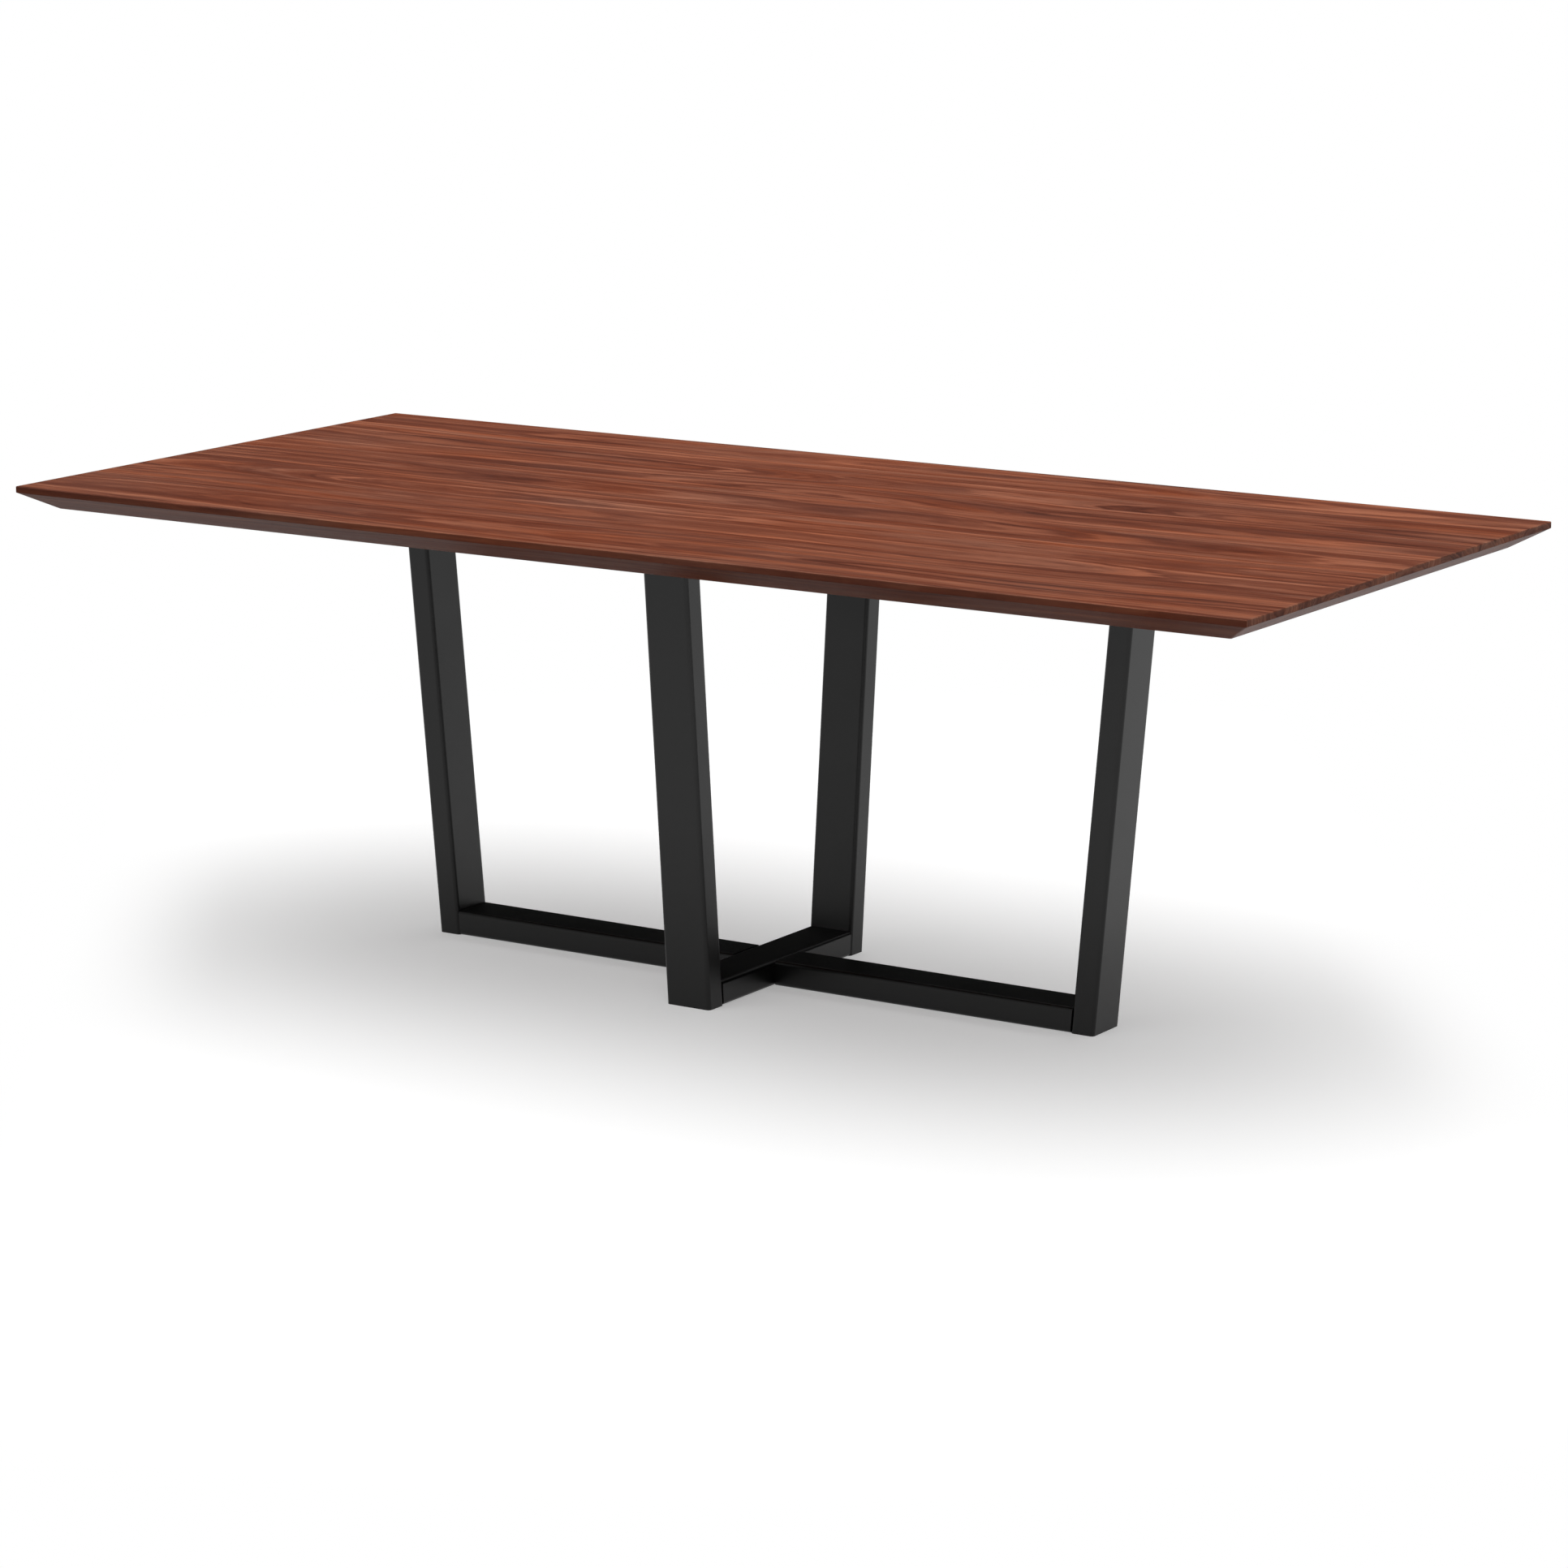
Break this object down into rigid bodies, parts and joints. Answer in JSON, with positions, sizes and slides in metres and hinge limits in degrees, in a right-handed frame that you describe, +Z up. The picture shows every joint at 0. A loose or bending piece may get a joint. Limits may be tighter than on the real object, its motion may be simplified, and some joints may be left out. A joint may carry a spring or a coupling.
{
  "type": "butcher block dining table",
  "caption": "Long rectangular dining table with a bevelled, edge-glued walnut top on a crossed base of leaning black steel tubes.",
  "frame": {"origin": "on the floor, under the middle of the top", "axes": "+X along the top's length, +Y to the back, +Z up"},
  "size_m": [2.2, 1, 0.76],
  "materials": {
    "walnut": "satin lacquer",
    "black_steel": "fine matte powder coat",
    "zinc_steel": "zinc plated",
    "black_plastic": "moulded, matte"
  },
  "bodies": {
    "root": {"stave_01": "walnut", "stave_02": "walnut", "stave_03": "walnut", "stave_04": "walnut", "stave_05": "walnut", "stave_06": "walnut", "stave_07": "walnut", "stave_08": "walnut", "stave_09": "walnut", "stave_10": "walnut", "stave_11": "walnut", "stave_12": "walnut", "stave_13": "walnut", "stave_14": "walnut", "stave_15": "walnut", "stave_16": "walnut", "leg_left": "black_steel", "mounting_plate_left": "black_steel", "foot_cap_left": "black_plastic", "leg_right": "black_steel", "mounting_plate_right": "black_steel", "foot_cap_right": "black_plastic", "leg_front": "black_steel", "mounting_plate_front": "black_steel", "foot_cap_front": "black_plastic", "leg_back": "black_steel", "mounting_plate_back": "black_steel", "foot_cap_back": "black_plastic", "cross_rail": "black_steel", "long_rail_left": "black_steel", "long_rail_right": "black_steel", "stiffener_left": "black_steel", "stiffener_right": "black_steel", "top_bolts": "zinc_steel", "top_washers": "zinc_steel", "threaded_inserts": "zinc_steel", "stiffener_screws": "zinc_steel"}
  },
  "joints": []
}
